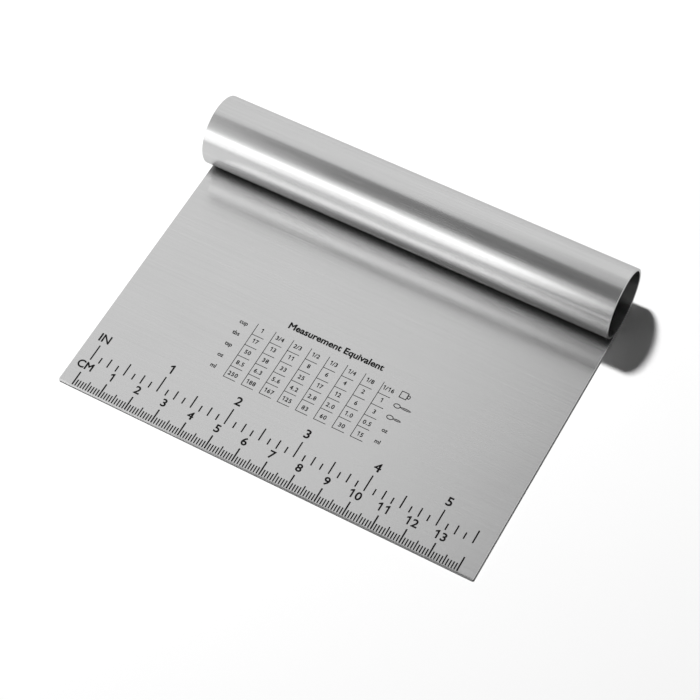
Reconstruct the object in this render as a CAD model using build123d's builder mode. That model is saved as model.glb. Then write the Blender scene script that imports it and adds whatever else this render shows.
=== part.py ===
"""Bench scraper: one stainless sheet, flat as the blade and rolled into an open tube as the handle.

The blade carries two etched measuring scales and the ruling of a conversion table. Each etched
recess is filled flush with black enamel, which is a node of its own beside the steel.

Frame: millimetres, +Z up, the tool lying on its underside. +X runs along the blade from the zero
marks to the highest numbers, +Y from the blade's edge to the handle. The origin is the centre of
the outline on the surface that the tool rests on.
"""

import os

from build123d import *

# Sheet
SHEET_THICKNESS = 0.8
BLADE_WIDTH = 150.8
OVERALL_DEPTH = 116.1
CORNER_RADIUS = 0.6
DEBURR = 0.12

# Ground strip along the blade's edge, on the upper side
BEVEL_WIDTH = 0.5
BEVEL_DROP = 0.3

# Rolled handle
HANDLE_DIAMETER = 24.5
FREE_EDGE_GAP = 0.2

# Etching
ETCH_DEPTH = 0.05

# Both scales start this far from the left side and stop at least as far from the right side
SCALE_MARGIN = 5.0

# Centimetre scale: marks every millimetre, starting at the ground strip
MM_PER_CM = 10
MM_MARK_WIDTH = 0.45
CM_MARK_WIDTH = 0.54
MM_MARK_TOP = 3.0
HALF_CM_MARK_TOP = 4.0
CM_MARK_TOP = 5.8

# Inch scale: marks every eighth
INCH = 25.4
EIGHTHS_PER_INCH = 8
INCH_ZERO_SHIFT = 0.17
INCH_MARK_WIDTH = 0.5
INCH_MARK_BASE = 11.05
INCH_MARK_LENGTH = 6.1
HALF_INCH_MARK_LENGTH = 4.8
QUARTER_INCH_MARK_LENGTH = 3.4
EIGHTH_INCH_MARK_LENGTH = 2.4

# Conversion table: eight columns, each with an upright rule and a rung under every row
TABLE_COLUMNS = 8
TABLE_ROWS = 5
TABLE_LEFT = 46.6
TABLE_BOTTOM = 26.0
TABLE_COLUMN_PITCH = 6.7
TABLE_ROW_PITCH = 4.5
TABLE_RUNG_LENGTH = 4.4
TABLE_RULE_WIDTH = 0.24

# Places worked out from the sizes above
HALF_WIDTH = BLADE_WIDTH / 2
EDGE_Y = -OVERALL_DEPTH / 2
HANDLE_RADIUS = HANDLE_DIAMETER / 2
HANDLE_Y = OVERALL_DEPTH / 2 - HANDLE_RADIUS
HANDLE_Z = HANDLE_RADIUS
BORE_RADIUS = HANDLE_RADIUS - SHEET_THICKNESS
SCALE_ROOM = BLADE_WIDTH - 2 * SCALE_MARGIN
CENTIMETRES = int(SCALE_ROOM // MM_PER_CM)
EIGHTHS = int((SCALE_ROOM - INCH_ZERO_SHIFT) * EIGHTHS_PER_INCH // INCH)
TOP = Plane.XY.offset(SHEET_THICKNESS)


def roll_sweep():
    """Degrees that the sheet turns, so that its free edge stops FREE_EDGE_GAP above the blade."""
    drop = HANDLE_RADIUS - SHEET_THICKNESS - FREE_EDGE_GAP
    below_centre = Vector(HANDLE_RADIUS, 0).get_angle(
        Vector((HANDLE_RADIUS**2 - drop**2) ** 0.5, drop)
    )
    return 90 + 180 + below_centre


def mark_spot(along, base, length):
    """Sketch location of a mark whose foot is base above the blade's edge."""
    return Location((SCALE_MARGIN - HALF_WIDTH + along, EDGE_Y + base + length / 2))


def cm_mark_length(index):
    """Length of the mark at that many millimetres from zero."""
    if index % MM_PER_CM == 0:
        top = CM_MARK_TOP
    elif index % (MM_PER_CM // 2) == 0:
        top = HALF_CM_MARK_TOP
    else:
        top = MM_MARK_TOP
    return top - BEVEL_WIDTH


def inch_mark_length(index):
    """Length of the mark at that many eighths from zero."""
    if index % EIGHTHS_PER_INCH == 0:
        return INCH_MARK_LENGTH
    if index % (EIGHTHS_PER_INCH // 2) == 0:
        return HALF_INCH_MARK_LENGTH
    if index % (EIGHTHS_PER_INCH // 4) == 0:
        return QUARTER_INCH_MARK_LENGTH
    return EIGHTH_INCH_MARK_LENGTH


# Etched outlines, on the blade's upper face

with BuildSketch(TOP) as cm_marks:
    for millimetre in range(CENTIMETRES * MM_PER_CM + 1):
        length = cm_mark_length(millimetre)
        width = CM_MARK_WIDTH if millimetre % MM_PER_CM == 0 else MM_MARK_WIDTH
        with Locations(mark_spot(millimetre, BEVEL_WIDTH, length)):
            Rectangle(width, length)

with BuildSketch(TOP) as inch_marks:
    for eighth in range(EIGHTHS + 1):
        length = inch_mark_length(eighth)
        along = INCH_ZERO_SHIFT + eighth * INCH / EIGHTHS_PER_INCH
        with Locations(mark_spot(along, INCH_MARK_BASE, length)):
            Rectangle(INCH_MARK_WIDTH, length)

with BuildSketch(TOP) as table_rules:
    table_height = TABLE_ROWS * TABLE_ROW_PITCH
    for column in range(TABLE_COLUMNS):
        rule_x = TABLE_LEFT - HALF_WIDTH + column * TABLE_COLUMN_PITCH
        with Locations((rule_x, EDGE_Y + TABLE_BOTTOM)):
            Rectangle(TABLE_RULE_WIDTH, table_height, align=(Align.CENTER, Align.MIN))
        for row in range(TABLE_ROWS):
            with Locations((rule_x, EDGE_Y + TABLE_BOTTOM + row * TABLE_ROW_PITCH)):
                Rectangle(TABLE_RUNG_LENGTH, TABLE_RULE_WIDTH, align=(Align.MIN, Align.MIN))

# Steel sheet: the profile is drawn in the YZ plane and runs the whole width

with BuildPart() as rolled_steel_body:
    with BuildSketch(Plane.YZ.offset(-HALF_WIDTH)):
        with BuildLine():
            underside = Line((EDGE_Y, 0), (HANDLE_Y, 0))
            outer_roll = CenterArc((HANDLE_Y, HANDLE_Z), HANDLE_RADIUS, -90, roll_sweep())
            inner_roll = CenterArc((HANDLE_Y, HANDLE_Z), BORE_RADIUS, -90, roll_sweep())
            free_edge = Line(outer_roll @ 1, inner_roll @ 1)
            upper_side = Line(inner_roll @ 0, (EDGE_Y + BEVEL_WIDTH, SHEET_THICKNESS))
            bevel = Line(upper_side @ 1, (EDGE_Y, SHEET_THICKNESS - BEVEL_DROP))
            edge_face = Line(bevel @ 1, underside @ 0)
        make_face()
    extrude(amount=BLADE_WIDTH)
    # The blade's two corners are rounded in plan
    front_corners = rolled_steel_body.edges().filter_by(Axis.Z).group_by(Axis.Y)[0]
    fillet(front_corners, radius=CORNER_RADIUS)
    # The two sheared ends are deburred all round
    end_faces = rolled_steel_body.faces().filter_by(Axis.X)
    chamfer(end_faces.edges().filter_by(GeomType.CIRCLE), length=DEBURR)
    extrude(cm_marks.sketch, amount=-ETCH_DEPTH, mode=Mode.SUBTRACT)
    extrude(inch_marks.sketch, amount=-ETCH_DEPTH, mode=Mode.SUBTRACT)
    extrude(table_rules.sketch, amount=-ETCH_DEPTH, mode=Mode.SUBTRACT)
rolled_steel_body.part.label = "rolled_steel_body"

# Enamel that fills each etched recess flush with the blade

with BuildPart() as centimetre_scale_infill:
    extrude(cm_marks.sketch, amount=-ETCH_DEPTH)
centimetre_scale_infill.part.label = "centimetre_scale_infill"

with BuildPart() as inch_scale_infill:
    extrude(inch_marks.sketch, amount=-ETCH_DEPTH)
inch_scale_infill.part.label = "inch_scale_infill"

with BuildPart() as conversion_table_infill:
    extrude(table_rules.sketch, amount=-ETCH_DEPTH)
conversion_table_infill.part.label = "conversion_table_infill"

os.makedirs("parts", exist_ok=True)
pieces = (
    rolled_steel_body,
    centimetre_scale_infill,
    inch_scale_infill,
    conversion_table_infill,
)
for piece in pieces:
    export_step(piece.part, f"parts/{piece.part.label}.step")
    print(piece.part.label, len(piece.part.solids()), "solids", round(piece.part.volume, 3), "mm3")
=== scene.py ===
"""Looks of a bench scraper: one brushed steel sheet, rolled at its far edge into an open handle.

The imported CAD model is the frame. Its steel and its enamel nodes are dressed here, and the
lettering of the two scales and of the conversion table is added on the blade. Sizes are in
metres. +X runs along the blade from the zero marks, +Y from the blade's edge to the handle and
+Z up from the surface that the tool lies on.
"""

import logging
import math
from dataclasses import dataclass
from enum import Enum

import bmesh
import bpy
from mathutils import Matrix, Quaternion, Vector

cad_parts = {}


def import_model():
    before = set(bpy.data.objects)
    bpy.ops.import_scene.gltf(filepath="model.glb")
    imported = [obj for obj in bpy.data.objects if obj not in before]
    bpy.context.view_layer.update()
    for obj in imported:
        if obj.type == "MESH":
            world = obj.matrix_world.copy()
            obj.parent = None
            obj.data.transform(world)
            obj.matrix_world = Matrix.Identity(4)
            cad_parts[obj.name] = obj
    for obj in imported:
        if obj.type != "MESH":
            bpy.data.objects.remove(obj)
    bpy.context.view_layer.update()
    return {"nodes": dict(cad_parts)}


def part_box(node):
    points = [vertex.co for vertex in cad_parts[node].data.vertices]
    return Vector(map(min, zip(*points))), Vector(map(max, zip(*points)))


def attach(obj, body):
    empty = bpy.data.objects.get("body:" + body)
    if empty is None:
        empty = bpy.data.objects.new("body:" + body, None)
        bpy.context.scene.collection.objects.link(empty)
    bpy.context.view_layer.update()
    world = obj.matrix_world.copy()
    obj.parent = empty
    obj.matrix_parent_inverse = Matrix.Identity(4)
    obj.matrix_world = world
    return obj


MM = 0.001
INCH = 25.4
MM_PER_CM = 10.0
MERGE_DISTANCE = 1e-7
SCALE_MARGIN = 5.0
INCH_ZERO_SHIFT = 0.17
NOISE_LOW = 0.25
NOISE_HIGH = 0.75
ROOT = "root"
STEEL_NODE = "rolled_steel_body"
INFILL_NODES = ("centimetre_scale_infill", "inch_scale_infill", "conversion_table_infill")

log = logging.getLogger("bench_scraper")


class Slot(Enum):
    """Material slots, by name."""

    STEEL = "brushed_steel"
    ENAMEL = "black_enamel"


class Align(Enum):
    """How a line of lettering sits on its anchor."""

    LEFT = "LEFT"
    CENTER = "CENTER"


# ---------------------------------------------------------------- node groups


@dataclass(frozen=True)
class NodeGroup:
    """A shader node group with one output, made once and placed in each material that uses it."""

    name: str

    def tree(self) -> bpy.types.NodeTree:
        """Finds the group's node tree, and builds it on the first call.

        Returns:
            The node tree.
        """
        found = bpy.data.node_groups.get(self.name)
        if found:
            return found
        made = bpy.data.node_groups.new(self.name, "ShaderNodeTree")
        self.fill(made)
        return made

    def fill(self, tree: bpy.types.NodeTree) -> None:
        """Adds the sockets and nodes of this effect.

        Args:
            tree: the empty node tree.
        """
        raise NotImplementedError

    def place(self, tree: bpy.types.NodeTree, **inputs: float) -> bpy.types.ShaderNodeGroup:
        """Puts the group in a material.

        Args:
            tree: the material's node tree.
            inputs: values of the group's input sockets, by name.

        Returns:
            The new group node.
        """
        node = tree.nodes.new("ShaderNodeGroup")
        node.node_tree = self.tree()
        for name, value in inputs.items():
            node.inputs[name].default_value = value
        return node


@dataclass(frozen=True)
class BrushedGrain(NodeGroup):
    """Fine streaks that run along X, as a value from 0 to 1 around 0.5."""

    name: str = "brushed_grain"
    along: float = 30.0
    across: float = 4200.0
    detail: float = 4.0
    breakup: float = 0.65

    def fill(self, tree: bpy.types.NodeTree) -> None:
        """Adds noise stretched along X.

        Args:
            tree: the empty node tree.
        """
        sockets = tree.interface
        sockets.new_socket("Width", in_out="INPUT", socket_type="NodeSocketFloat")
        sockets.new_socket("Value", in_out="OUTPUT", socket_type="NodeSocketFloat")
        nodes, links = tree.nodes, tree.links
        given = nodes.new("NodeGroupInput")
        put_out = nodes.new("NodeGroupOutput")
        place = nodes.new("ShaderNodeTexCoord")
        stretch = nodes.new("ShaderNodeMapping")
        stretch.inputs["Scale"].default_value = (self.along, self.across, self.across)
        streaks = nodes.new("ShaderNodeTexNoise")
        streaks.inputs["Detail"].default_value = self.detail
        streaks.inputs["Roughness"].default_value = self.breakup
        links.new(place.outputs["Object"], stretch.inputs["Vector"])
        links.new(stretch.outputs["Vector"], streaks.inputs["Vector"])
        links.new(given.outputs["Width"], streaks.inputs["Scale"])
        links.new(streaks.outputs["Fac"], put_out.inputs["Value"])


@dataclass(frozen=True)
class SoftBlotches(NodeGroup):
    """Broad, faint unevenness left by polishing and handling, as a value from 0 to 1."""

    name: str = "soft_blotches"
    detail: float = 3.0

    def fill(self, tree: bpy.types.NodeTree) -> None:
        """Adds slow noise.

        Args:
            tree: the empty node tree.
        """
        sockets = tree.interface
        sockets.new_socket("Scale", in_out="INPUT", socket_type="NodeSocketFloat")
        sockets.new_socket("Value", in_out="OUTPUT", socket_type="NodeSocketFloat")
        nodes, links = tree.nodes, tree.links
        given = nodes.new("NodeGroupInput")
        put_out = nodes.new("NodeGroupOutput")
        place = nodes.new("ShaderNodeTexCoord")
        cloud = nodes.new("ShaderNodeTexNoise")
        cloud.inputs["Detail"].default_value = self.detail
        links.new(place.outputs["Object"], cloud.inputs["Vector"])
        links.new(given.outputs["Scale"], cloud.inputs["Scale"])
        links.new(cloud.outputs["Fac"], put_out.inputs["Value"])


@dataclass(frozen=True)
class UnpolishedCrease(NodeGroup):
    """Mask of the crease under the roll, where shade is painted into the steel's colour. Metres.
    """

    name: str = "painted_crease_shade"
    starts: float = 0.0325
    full: float = 0.0365
    low: float = 0.0015
    high: float = 0.0045

    def fill(self, tree: bpy.types.NodeTree) -> None:
        """Adds a ramp towards the roll and one down to the blade, and multiplies them.

        Args:
            tree: the empty node tree.
        """
        tree.interface.new_socket("Value", in_out="OUTPUT", socket_type="NodeSocketFloat")
        nodes, links = tree.nodes, tree.links
        put_out = nodes.new("NodeGroupOutput")
        place = nodes.new("ShaderNodeTexCoord")
        parts = nodes.new("ShaderNodeSeparateXYZ")
        links.new(place.outputs["Object"], parts.inputs["Vector"])
        both = nodes.new("ShaderNodeMath")
        both.operation = "MULTIPLY"
        links.new(both.outputs["Value"], put_out.inputs["Value"])
        spans = (("Y", self.starts, self.full), ("Z", self.high, self.low))
        for socket, (axis, nothing, everything) in enumerate(spans):
            step = nodes.new("ShaderNodeMapRange")
            step.interpolation_type = "SMOOTHSTEP"
            step.inputs["From Min"].default_value = nothing
            step.inputs["From Max"].default_value = everything
            links.new(parts.outputs[axis], step.inputs["Value"])
            links.new(step.outputs["Result"], both.inputs[socket])


# ---------------------------------------------------------------- finishes


def ramp(tree: bpy.types.NodeTree, low: float, high: float) -> bpy.types.ShaderNodeMapRange:
    """Adds a node that spreads the usual range of a noise between two numbers.

    Args:
        tree: the material's node tree.
        low: result where the noise is low.
        high: result where the noise is high.

    Returns:
        The new node.
    """
    node = tree.nodes.new("ShaderNodeMapRange")
    node.inputs["From Min"].default_value = NOISE_LOW
    node.inputs["From Max"].default_value = NOISE_HIGH
    node.inputs["To Min"].default_value = low
    node.inputs["To Max"].default_value = high
    return node


def blank_material(name: str) -> tuple[bpy.types.Material, bpy.types.ShaderNode]:
    """Makes a material with its shader.

    Args:
        name: the material's name.

    Returns:
        The material and its Principled shader.
    """
    made = bpy.data.materials.new(name)
    made.use_nodes = True
    return made, made.node_tree.nodes["Principled BSDF"]


@dataclass(frozen=True)
class BrushedSteel:
    """Stainless sheet brushed along its length."""

    name: str = "brushed_steel"
    dark: float = 0.66
    light: float = 0.78
    smooth: float = 0.18
    rough: float = 0.30
    grain_width: float = 1.0
    blotch_scale: float = 26.0
    blotch_share: float = 0.35
    # how far painted shade darkens the steel's colour in the crease under the roll
    crease_shade: float = 0.70
    edge_tint: float = 0.75
    relief: float = 0.5
    relief_depth: float = 1.2e-5

    def material(self) -> bpy.types.Material:
        """Builds the finish.

        Returns:
            The node material.
        """
        made, shader = blank_material(self.name)
        tree = made.node_tree
        shader.inputs["Metallic"].default_value = 1.0
        grain = BrushedGrain().place(tree, Width=self.grain_width)
        blotches = SoftBlotches().place(tree, Scale=self.blotch_scale)
        mixed = tree.nodes.new("ShaderNodeMix")
        mixed.data_type = "FLOAT"
        mixed.inputs["Factor"].default_value = self.blotch_share
        tree.links.new(grain.outputs["Value"], mixed.inputs["A"])
        tree.links.new(blotches.outputs["Value"], mixed.inputs["B"])
        shade = ramp(tree, self.dark, self.light)
        tree.links.new(mixed.outputs["Result"], shade.inputs["Value"])
        # painted shade: the crease mask darkens the steel's base colour where the roll meets the
        # blade
        crease = UnpolishedCrease().place(tree)
        kept = tree.nodes.new("ShaderNodeMapRange")
        kept.inputs["To Min"].default_value = 1.0
        kept.inputs["To Max"].default_value = 1.0 - self.crease_shade
        tree.links.new(crease.outputs["Value"], kept.inputs["Value"])
        shaded = tree.nodes.new("ShaderNodeMath")
        shaded.operation = "MULTIPLY"
        tree.links.new(shade.outputs["Result"], shaded.inputs[0])
        tree.links.new(kept.outputs["Result"], shaded.inputs[1])
        colour = tree.nodes.new("ShaderNodeCombineColor")
        for channel in ("Red", "Green", "Blue"):
            tree.links.new(shaded.outputs["Value"], colour.inputs[channel])
        tree.links.new(colour.outputs["Color"], shader.inputs["Base Color"])
        shader.inputs["Specular Tint"].default_value = (self.edge_tint,) * 3 + (1,)
        gloss = ramp(tree, self.smooth, self.rough)
        tree.links.new(mixed.outputs["Result"], gloss.inputs["Value"])
        tree.links.new(gloss.outputs["Result"], shader.inputs["Roughness"])
        bump = tree.nodes.new("ShaderNodeBump")
        bump.inputs["Strength"].default_value = self.relief
        bump.inputs["Distance"].default_value = self.relief_depth
        tree.links.new(grain.outputs["Value"], bump.inputs["Height"])
        tree.links.new(bump.outputs["Normal"], shader.inputs["Normal"])
        return made


@dataclass(frozen=True)
class BlackEnamel:
    """Matt black filling of the etched marks."""

    name: str = "black_enamel"
    dark: float = 0.004
    light: float = 0.010
    smooth: float = 0.5
    rough: float = 0.7
    blotch_scale: float = 900.0
    shine: float = 0.1

    def material(self) -> bpy.types.Material:
        """Builds the finish.

        Returns:
            The node material.
        """
        made, shader = blank_material(self.name)
        tree = made.node_tree
        blotches = SoftBlotches().place(tree, Scale=self.blotch_scale)
        shade = ramp(tree, self.dark, self.light)
        tree.links.new(blotches.outputs["Value"], shade.inputs["Value"])
        colour = tree.nodes.new("ShaderNodeCombineColor")
        for channel in ("Red", "Green", "Blue"):
            tree.links.new(shade.outputs["Result"], colour.inputs[channel])
        tree.links.new(colour.outputs["Color"], shader.inputs["Base Color"])
        gloss = ramp(tree, self.smooth, self.rough)
        tree.links.new(blotches.outputs["Value"], gloss.inputs["Value"])
        tree.links.new(gloss.outputs["Result"], shader.inputs["Roughness"])
        shader.inputs["Specular IOR Level"].default_value = self.shine
        return made


def dress(piece: bpy.types.Object, material: bpy.types.Material) -> None:
    """Gives a piece its finish as its one material slot.

    Args:
        piece: the mesh object.
        material: the finish.
    """
    piece.data.materials.clear()
    piece.data.materials.append(material)


# ---------------------------------------------------------------- the steel sheet


@dataclass
class SteelSheet:
    """The blade with its rolled handle, as the CAD has it."""

    node: bpy.types.Object
    smooth_angle: float = math.radians(25)

    def dress(self, material: bpy.types.Material) -> None:
        """Rounds the shading of the roll and lays on the steel finish.

        Args:
            material: the steel finish.
        """
        mesh = self.node.data
        mesh.polygons.foreach_set("use_smooth", [True] * len(mesh.polygons))
        mesh.set_sharp_from_angle(angle=self.smooth_angle)
        dress(self.node, material)


@dataclass
class EtchedMarks:
    """The scale marks and the table's ruling, as the CAD has them."""

    nodes: list[bpy.types.Object]

    def dress(self, material: bpy.types.Material) -> None:
        """Lays the enamel on every etched mark.

        Args:
            material: the enamel finish.
        """
        for node in self.nodes:
            dress(node, material)


# ---------------------------------------------------------------- lettering


@dataclass(frozen=True)
class Blade:
    """The blade's upper face, as a drawing board for lettering. Sizes here are millimetres."""

    left: float
    edge: float
    top: float
    proud: float = 0.03
    sunk: float = 0.02

    def spot(self, along: float, up: float) -> Vector:
        """Finds a place on the blade.

        Args:
            along: millimetres from the left side.
            up: millimetres from the blade's edge.

        Returns:
            The place in metres.
        """
        return Vector((self.left + along * MM, self.edge + up * MM, self.top))

    def laid_on(self, shape: bmesh.types.BMesh, place: Vector, name: str) -> bpy.types.Object:
        """Gives a flat shape the thickness of the enamel and puts it on the blade.

        Args:
            shape: the flat shape in millimetres, which is used up.
            place: where its own origin goes, in metres.
            name: the new object's name.

        Returns:
            The shape as a closed mesh.
        """
        bmesh.ops.translate(shape, verts=shape.verts, vec=(0, 0, -self.sunk))
        grown = bmesh.ops.extrude_face_region(shape, geom=shape.faces[:])["geom"]
        raised = [part for part in grown if isinstance(part, bmesh.types.BMVert)]
        bmesh.ops.translate(shape, verts=raised, vec=(0, 0, self.proud + self.sunk))
        bmesh.ops.scale(shape, verts=shape.verts, vec=(MM, MM, MM))
        bmesh.ops.translate(shape, verts=shape.verts, vec=place)
        mesh = bpy.data.meshes.new(name)
        shape.to_mesh(mesh)
        shape.free()
        return bpy.data.objects.new(name, mesh)


def thicken_strokes(shape: bmesh.types.BMesh, weight: float, longest_mitre: float = 1.5) -> None:
    """Moves the outline of a flat shape outwards, so that its strokes get heavier.

    Args:
        shape: the flat shape, facing up.
        weight: how far each side moves.
        longest_mitre: how far a sharp corner may move, in weights.
    """
    moves = {}
    for point in shape.verts:
        pull = Vector((0, 0, 0))
        for loop in (edge.link_loops[0] for edge in point.link_edges if edge.is_boundary):
            along = loop.link_loop_next.vert.co - loop.vert.co
            pull += along.cross(loop.face.normal).normalized()
        if pull.length > 0:
            mitre = min(2 / pull.length, longest_mitre)
            moves[point] = pull.normalized() * weight * mitre
    for point, move in moves.items():
        point.co += move


@dataclass(frozen=True)
class Lettering:
    """A set of words or numbers in one size, laid in thin enamel. Sizes are millimetres.

    The figure one and each figure's room are shares of the height. cap_height is the capitals'
    share of the font's size.
    """

    name: str
    height: float
    weight: float = 0.0
    widen: float = 1.0
    cap_height: float = 0.73
    figure_room: float = 0.79
    mark_room: float = 0.42
    curve_steps: int = 4
    merge_distance: float = 1e-4
    one_outline: tuple[tuple[float, float], ...] = (
        (0.05, 0.0),
        (0.16, 0.0),
        (0.16, 1.0),
        (0.08, 1.0),
        (-0.19, 0.82),
        (-0.19, 0.71),
        (0.05, 0.80),
    )

    def font_shape(self, text: str, align: Align) -> bmesh.types.BMesh:
        """Sets a word in the built-in font.

        Args:
            text: what it says.
            align: which side of the word the origin is on.

        Returns:
            The word as a flat shape in millimetres.
        """
        curve = bpy.data.curves.new(f"{self.name}_curve", "FONT")
        curve.body = text
        curve.size = self.height / self.cap_height
        curve.align_x = align.value
        curve.resolution_u = self.curve_steps
        holder = bpy.data.objects.new(f"{self.name}_text", curve)
        bpy.context.scene.collection.objects.link(holder)
        bpy.context.view_layer.update()
        flat = bpy.data.meshes.new_from_object(holder)
        bpy.data.objects.remove(holder)
        bpy.data.curves.remove(curve)
        shape = bmesh.new()
        shape.from_mesh(flat)
        bpy.data.meshes.remove(flat)
        bmesh.ops.remove_doubles(shape, verts=shape.verts, dist=self.merge_distance)
        return shape

    def figure_one(self) -> bmesh.types.BMesh:
        """Draws the figure one with a flag.

        Returns:
            A flat shape in millimetres.
        """
        shape = bmesh.new()
        shape.faces.new(
            [shape.verts.new((x * self.height, y * self.height, 0)) for x, y in self.one_outline]
        )
        return shape

    def finish(
        self, shape: bmesh.types.BMesh, blade: Blade, along: float, base: float
    ) -> bpy.types.Object:
        """Widens and thickens a flat shape and lays it on the blade.

        Args:
            shape: the flat shape, which is used up.
            blade: the face that it lies on.
            along: millimetres from the blade's left side to the shape's origin.
            base: millimetres from the blade's edge to the foot of the letters.

        Returns:
            The shape as a closed mesh.
        """
        bmesh.ops.scale(shape, verts=shape.verts, vec=(self.widen, 1, 1))
        shape.normal_update()
        thicken_strokes(shape, self.weight)
        return blade.laid_on(shape, blade.spot(along, base), self.name)

    def word(self, text: str, blade: Blade, left: float, base: float) -> list[bpy.types.Object]:
        """Sets one word on the blade.

        Args:
            text: what it says.
            blade: the face that it lies on.
            left: millimetres from the blade's left side to the start of the word.
            base: millimetres from the blade's edge to the foot of the letters.

        Returns:
            The word as one closed mesh.
        """
        return [self.finish(self.font_shape(text, Align.LEFT), blade, left, base)]

    def number(
        self, text: str, blade: Blade, middle: float, base: float
    ) -> list[bpy.types.Object]:
        """Sets one number on the blade, each figure in the middle of its own room.

        Args:
            text: its figures, points and strokes.
            blade: the face that it lies on.
            middle: millimetres from the blade's left side to the number's middle.
            base: millimetres from the blade's edge to the foot of the figures.

        Returns:
            One closed mesh per figure.
        """
        rooms = [
            (self.mark_room if mark in "./" else self.figure_room) * self.height * self.widen
            for mark in text
        ]
        start = middle - sum(rooms) / 2
        figures = []
        for mark, room in zip(text, rooms):
            one = mark == "1"
            shape = self.figure_one() if one else self.font_shape(mark, Align.CENTER)
            figures.append(self.finish(shape, blade, start + room / 2, base))
            start += room
        return figures


def joined(name: str, pieces: list[bpy.types.Object]) -> bpy.types.Object:
    """Makes one mesh object of several and merges its doubled points.

    Args:
        name: the new object's name.
        pieces: unlinked mesh objects, which are used up.

    Returns:
        The joined object, linked to the scene and riding on the tool.
    """
    whole = bmesh.new()
    for piece in pieces:
        whole.from_mesh(piece.data)
        bpy.data.meshes.remove(piece.data)
    bmesh.ops.remove_doubles(whole, verts=whole.verts, dist=MERGE_DISTANCE)
    bmesh.ops.recalc_face_normals(whole, faces=whole.faces)
    mesh = bpy.data.meshes.new(name)
    whole.to_mesh(mesh)
    whole.free()
    made = bpy.data.objects.new(name, mesh)
    bpy.context.scene.collection.objects.link(made)
    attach(made, ROOT)
    return made


@dataclass
class ScaleNumbers:
    """Numbers and the unit's name along one of the two scales. Sizes are millimetres."""

    name: str
    unit: str
    pitch: float
    zero: float
    last: int
    base: float
    height: float
    unit_left: float
    unit_base: float
    unit_height: float
    weight: float = 0.10
    widen: float = 1.1

    def build(self, blade: Blade) -> bpy.types.Object:
        """Sets the numbers over their marks.

        Args:
            blade: the face that they lie on.

        Returns:
            The numbers as one piece.
        """
        figures = Lettering(f"{self.name}_figure", self.height, self.weight, self.widen)
        shapes = []
        for count in range(1, self.last + 1):
            middle = self.zero + count * self.pitch
            shapes += figures.number(str(count), blade, middle, self.base)
        unit = Lettering(f"{self.name}_unit", self.unit_height, self.weight)
        shapes += unit.word(self.unit, blade, self.unit_left, self.unit_base)
        return joined(self.name, shapes)


@dataclass
class ConversionTable:
    """Wording of the table: a title, five row names and eight columns. Sizes are millimetres."""

    first_column: float
    column_pitch: float
    column_shift: float = 2.45
    row_heights: tuple[float, ...] = (46.0, 41.45, 36.7, 32.0, 27.4)
    names_left: float = 40.6
    height: float = 1.55
    weight: float = 0.05
    title: str = "Measurement Equivalent"
    title_left: float = 55.6
    title_base: float = 51.75
    title_height: float = 2.4
    title_widen: float = 1.08
    title_weight: float = 0.11
    rows: tuple[tuple[str, ...], ...] = (
        ("cup", "1", "3/4", "2/3", "1/2", "1/3", "1/4", "1/8", "1/16"),
        ("tbs", "17", "13", "11", "8", "6", "4", "2", "1"),
        ("tsp", "50", "38", "33", "25", "17", "12", "6", "3"),
        ("oz", "8.5", "6.3", "5.6", "4.2", "2.8", "2.0", "1.0", "0.5"),
        ("ml", "250", "188", "167", "125", "83", "60", "30", "15"),
    )

    def build(self, blade: Blade) -> bpy.types.Object:
        """Sets the title and the small print.

        Args:
            blade: the face that they lie on.

        Returns:
            The wording as one piece.
        """
        small = Lettering("table_word", self.height, self.weight)
        bold = Lettering(
            "table_title", self.title_height, self.title_weight, widen=self.title_widen
        )
        shapes = bold.word(self.title, blade, self.title_left, self.title_base)
        for base, (name, *cells) in zip(self.row_heights, self.rows):
            shapes += small.word(name, blade, self.names_left, base)
            for column, cell in enumerate(cells):
                middle = self.first_column + column * self.column_pitch + self.column_shift
                shapes += small.number(cell, blade, middle, base)
        return joined("conversion_table_wording", shapes)


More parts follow.
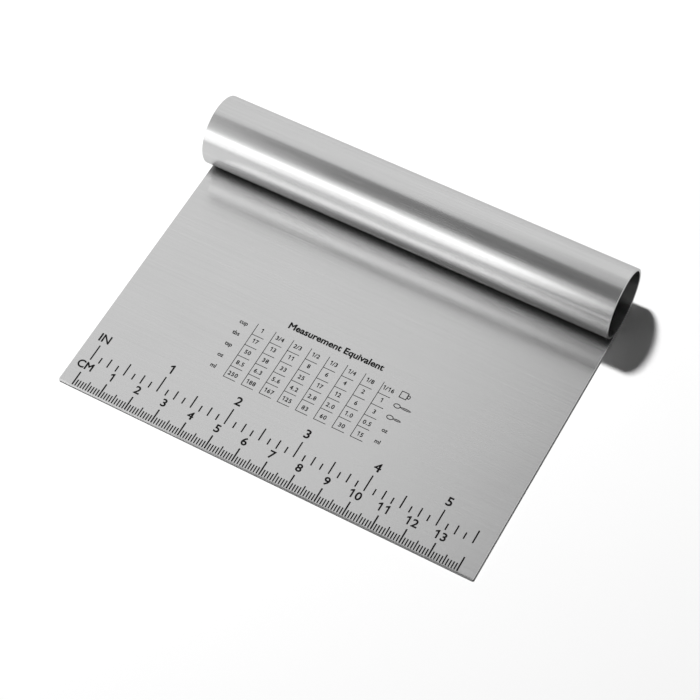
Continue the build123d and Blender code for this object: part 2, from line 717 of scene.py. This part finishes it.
@dataclass
class MeasurePictures:
    """Small outline pictures at the ends of the rows: a cup, two spoons, and two unit names."""

    left: float = 100.1
    line: float = 0.28
    cup_side: float = 2.7
    cup_base: float = 45.7
    cup_handle: float = 0.75
    spoons: tuple[tuple[float, float], ...] = ((42.6, 6.2), (37.9, 5.1))
    bowl_radius: float = 0.85
    bowl_stretch: float = 1.45
    bowl_corners: int = 20
    grip_stretch: float = 0.75
    grip_corners: int = 12
    handle_in_lines: float = 1.4
    unit_height: float = 1.5
    unit_weight: float = 0.05
    units: tuple[tuple[str, float, float], ...] = (("oz", 101.2, 32.3), ("ml", 101.1, 27.7))

    def ring(
        self, blade: Blade, centre: Vector, radius: float, stretch: float, corners: int
    ) -> bpy.types.Object:
        """Draws a closed outline of the pictures' line width.

        Args:
            blade: the face that it lies on.
            centre: middle of the outline in metres.
            radius: half its height in millimetres.
            stretch: its width over its height.
            corners: how many sides it has.

        Returns:
            The outline as a thin closed mesh.
        """
        turn = math.pi / corners
        reach = radius / math.cos(turn)
        shape = bmesh.new()
        outer = bmesh.ops.create_circle(shape, segments=corners, radius=reach)["verts"]
        bmesh.ops.rotate(shape, verts=outer, matrix=Matrix.Rotation(turn, 3, "Z"))
        bmesh.ops.scale(shape, verts=outer, vec=(stretch, 1, 1))
        inner = bmesh.ops.duplicate(shape, geom=shape.verts[:] + shape.edges[:])["geom"]
        inner_points = [part for part in inner if isinstance(part, bmesh.types.BMVert)]
        narrow = (1 - self.line / (radius * stretch), 1 - self.line / radius, 1)
        bmesh.ops.scale(shape, verts=inner_points, vec=narrow)
        bmesh.ops.bridge_loops(shape, edges=shape.edges[:])
        return blade.laid_on(shape, centre, "outline")

    def cup(self, blade: Blade) -> list[bpy.types.Object]:
        """Draws a measuring cup with its handle to the right.

        Args:
            blade: the face that it lies on.

        Returns:
            The cup's outlines.
        """
        half = self.cup_side / 2
        middle = self.cup_base + half
        body = self.ring(blade, blade.spot(self.left + half, middle), half, stretch=1.0, corners=4)
        grip_middle = blade.spot(self.left + self.cup_side + self.cup_handle / 2, middle)
        grip = self.ring(
            blade, grip_middle, self.cup_handle, self.grip_stretch, self.grip_corners
        )
        return [body, grip]

    def spoon(self, blade: Blade, up: float, length: float) -> list[bpy.types.Object]:
        """Draws a measuring spoon with its bowl to the left.

        Args:
            blade: the face that it lies on.
            up: millimetres from the blade's edge to the spoon's middle.
            length: the spoon's whole length in millimetres.

        Returns:
            The bowl and the handle.
        """
        half_bowl = self.bowl_radius * self.bowl_stretch
        bowl_middle = blade.spot(self.left + half_bowl, up)
        bowl = self.ring(
            blade, bowl_middle, self.bowl_radius, self.bowl_stretch, self.bowl_corners
        )
        handle_length = length - 2 * half_bowl
        handle_middle = blade.spot(self.left + length - handle_length / 2, up)
        half_height = self.line * self.handle_in_lines
        stretch = handle_length / (2 * half_height)
        handle = self.ring(blade, handle_middle, half_height, stretch, self.grip_corners)
        return [bowl, handle]

    def build(self, blade: Blade) -> bpy.types.Object:
        """Draws every picture and unit name.

        Args:
            blade: the face that they lie on.

        Returns:
            The pictures as one piece.
        """
        shapes = self.cup(blade)
        for up, length in self.spoons:
            shapes += self.spoon(blade, up, length)
        small = Lettering("unit_word", self.unit_height, self.unit_weight)
        for text, left, base in self.units:
            shapes += small.word(text, blade, left, base)
        return joined("measure_pictures", shapes)


# ---------------------------------------------------------------- studio


@dataclass(frozen=True)
class SoftBox:
    """A rectangular studio lamp aimed at the tool."""

    name: str
    place: tuple[float, float, float]
    size: tuple[float, float]
    power: float
    mirrored: bool = True

    def build(self, aim: Vector) -> bpy.types.Object:
        """Hangs the lamp and turns it to the tool.

        Args:
            aim: the point that it faces.

        Returns:
            The lamp.
        """
        lamp = bpy.data.lights.new(self.name, "AREA")
        lamp.shape = "RECTANGLE"
        lamp.size, lamp.size_y = self.size
        lamp.energy = self.power
        made = bpy.data.objects.new(self.name, lamp)
        bpy.context.scene.collection.objects.link(made)
        made.location = Vector(self.place)
        made.rotation_mode = "QUATERNION"
        made.rotation_quaternion = (aim - made.location).to_track_quat("-Z", "Y")
        made.visible_glossy = self.mirrored
        return made


@dataclass(frozen=True)
class Card:
    """A faintly glowing card that is seen only in the steel's reflections."""

    name: str
    place: tuple[float, float, float]
    size: tuple[float, float]
    upright: bool
    glow: float

    def build(self) -> bpy.types.Object:
        """Hangs the card, level or upright.

        Returns:
            The card.
        """
        shape = bmesh.new()
        corners = bmesh.ops.create_grid(shape, x_segments=1, y_segments=1, size=0.5)["verts"]
        bmesh.ops.scale(shape, verts=corners, vec=(*self.size, 1))
        if self.upright:
            bmesh.ops.rotate(shape, verts=corners, matrix=Matrix.Rotation(math.pi / 2, 3, "X"))
        bmesh.ops.translate(shape, verts=corners, vec=self.place)
        mesh = bpy.data.meshes.new(self.name)
        shape.to_mesh(mesh)
        shape.free()
        made = bpy.data.objects.new(self.name, mesh)
        bpy.context.scene.collection.objects.link(made)
        material, shader = blank_material(self.name)
        shader.inputs["Base Color"].default_value = (0, 0, 0, 1)
        shader.inputs["Specular IOR Level"].default_value = 0.0
        shader.inputs["Emission Color"].default_value = (1, 1, 1, 1)
        shader.inputs["Emission Strength"].default_value = self.glow
        mesh.materials.append(material)
        made.visible_camera = False
        made.visible_diffuse = False
        made.visible_shadow = False
        return made


@dataclass
class Studio:
    """Pale floor, white surroundings, soft lamps and the camera."""

    floor_side: float = 6.0
    floor_tone: float = 0.9
    mirrored_floor_tone: float = 0.66
    fill: float = 0.06
    mirrored: float = 0.80
    lamps: tuple[SoftBox, ...] = (
        SoftBox("side_key", (-0.62, 0.41, 1.30), (0.15, 0.15), 28.0, mirrored=False),
        SoftBox("front_strip", (-0.385, -0.75, 0.51), (0.50, 0.22), 0.42),
        SoftBox("low_left", (-0.41, -0.75, 0.24), (0.12, 0.30), 0.11),
        SoftBox("low_right", (-0.19, -0.75, 0.24), (0.11, 0.30), 0.12),
    )
    cards: tuple[Card, ...] = (
        Card("overhead_card", (0.065, -0.28, 1.0), (1.07, 0.92), upright=False, glow=0.17),
        Card("side_card", (0.13, -0.76, 0.48), (0.50, 0.94), upright=True, glow=0.04),
        Card("pale_card", (0.13, 0.58, 1.0), (0.60, 0.80), upright=False, glow=0.43),
    )
    camera_azimuth: float = 33.3
    camera_elevation: float = 58.49
    camera_distance: float = 0.69415
    camera_aim: tuple[float, float, float] = (0.0022, -0.00388, 0.0)
    camera_roll: float = -4.59
    lens: float = 110.33
    clip_start: float = 0.01

    def floor(self) -> bpy.types.Object:
        """Lays the floor that the tool lies on.

        Returns:
            The floor.
        """
        shape = bmesh.new()
        bmesh.ops.create_grid(shape, x_segments=1, y_segments=1, size=self.floor_side / 2)
        mesh = bpy.data.meshes.new("studio_floor")
        shape.to_mesh(mesh)
        shape.free()
        made = bpy.data.objects.new("studio_floor", mesh)
        bpy.context.scene.collection.objects.link(made)
        material, shader = blank_material("studio_paper")
        shader.inputs["Roughness"].default_value = 1.0
        shader.inputs["Specular IOR Level"].default_value = 0.0
        tree = material.node_tree
        path = tree.nodes.new("ShaderNodeLightPath")
        tone = tree.nodes.new("ShaderNodeMapRange")
        tone.inputs["To Min"].default_value = self.floor_tone
        tone.inputs["To Max"].default_value = self.mirrored_floor_tone
        tree.links.new(path.outputs["Is Glossy Ray"], tone.inputs["Value"])
        tree.links.new(tone.outputs["Result"], shader.inputs["Base Color"])
        mesh.materials.append(material)
        return made

    def world(self) -> None:
        """Sets plain surroundings, white where the camera sees them."""
        world = bpy.data.worlds.new("studio_surround")
        bpy.context.scene.world = world
        world.use_nodes = True
        tree = world.node_tree
        shade = tree.nodes["Background"]
        shade.inputs["Color"].default_value = (1, 1, 1, 1)
        path = tree.nodes.new("ShaderNodeLightPath")
        level = None
        for ray, strength in (("Is Glossy Ray", self.mirrored), ("Is Camera Ray", 1.0)):
            step = tree.nodes.new("ShaderNodeMapRange")
            step.inputs["To Min"].default_value = self.fill
            step.inputs["To Max"].default_value = strength
            tree.links.new(path.outputs[ray], step.inputs["Value"])
            if level:
                tree.links.new(level.outputs["Result"], step.inputs["To Min"])
            level = step
        tree.links.new(level.outputs["Result"], shade.inputs["Strength"])

    def camera(self) -> None:
        """Places the camera over the blade's right-hand side."""
        lens = bpy.data.cameras.new("studio_camera")
        lens.lens = self.lens
        lens.clip_start = self.clip_start
        made = bpy.data.objects.new("studio_camera", lens)
        bpy.context.scene.collection.objects.link(made)
        turn = math.radians(self.camera_azimuth)
        rise = math.radians(self.camera_elevation)
        level = math.cos(rise)
        back = Vector((math.sin(turn) * level, -math.cos(turn) * level, math.sin(rise)))
        made.location = Vector(self.camera_aim) + back * self.camera_distance
        made.rotation_mode = "QUATERNION"
        upright = (-back).to_track_quat("-Z", "Y")
        lean = Quaternion((0, 0, 1), math.radians(self.camera_roll))
        made.rotation_quaternion = upright @ lean
        bpy.context.scene.camera = made

    def build(self, aim: Vector) -> None:
        """Sets up the whole studio.

        Args:
            aim: the point that the lamps face.
        """
        self.floor()
        self.world()
        for card in self.cards:
            card.build()
        for lamp in self.lamps:
            lamp.build(aim)
        self.camera()
        bpy.context.scene.view_settings.view_transform = "Standard"


def main() -> None:
    """Loads the frame, dresses its nodes, adds the lettering and lights the tool."""
    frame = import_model()
    nodes = frame["nodes"]
    steel, enamel = BrushedSteel().material(), BlackEnamel().material()
    SteelSheet(nodes[STEEL_NODE]).dress(steel)
    log.info("dressed %s", STEEL_NODE)
    EtchedMarks([nodes[name] for name in INFILL_NODES]).dress(enamel)
    log.info("dressed %s", ", ".join(INFILL_NODES))

    low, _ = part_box(STEEL_NODE)
    _, marks_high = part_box(INFILL_NODES[0])
    blade = Blade(left=low[0], edge=low[1], top=marks_high[2])
    lettering = (
        ScaleNumbers(
            name="centimetre_numbers",
            unit="CM",
            pitch=MM_PER_CM,
            zero=SCALE_MARGIN,
            last=13,
            base=7.3,
            height=2.9,
            unit_left=2.0,
            unit_base=7.3,
            unit_height=2.9,
        ),
        ScaleNumbers(
            name="inch_numbers",
            unit="IN",
            pitch=INCH,
            zero=SCALE_MARGIN + INCH_ZERO_SHIFT,
            last=5,
            base=18.85,
            height=3.2,
            unit_left=3.05,
            unit_base=18.65,
            unit_height=3.1,
        ),
        ConversionTable(first_column=46.6, column_pitch=6.7),
        MeasurePictures(),
    )
    for part in lettering:
        piece = part.build(blade)
        dress(piece, enamel)
        log.info("added %s", piece.name)

    Studio().build(Vector((0, 0, 0)))


if __name__ == "__main__":
    logging.basicConfig(level=logging.INFO, format="%(name)s: %(message)s")
    main()
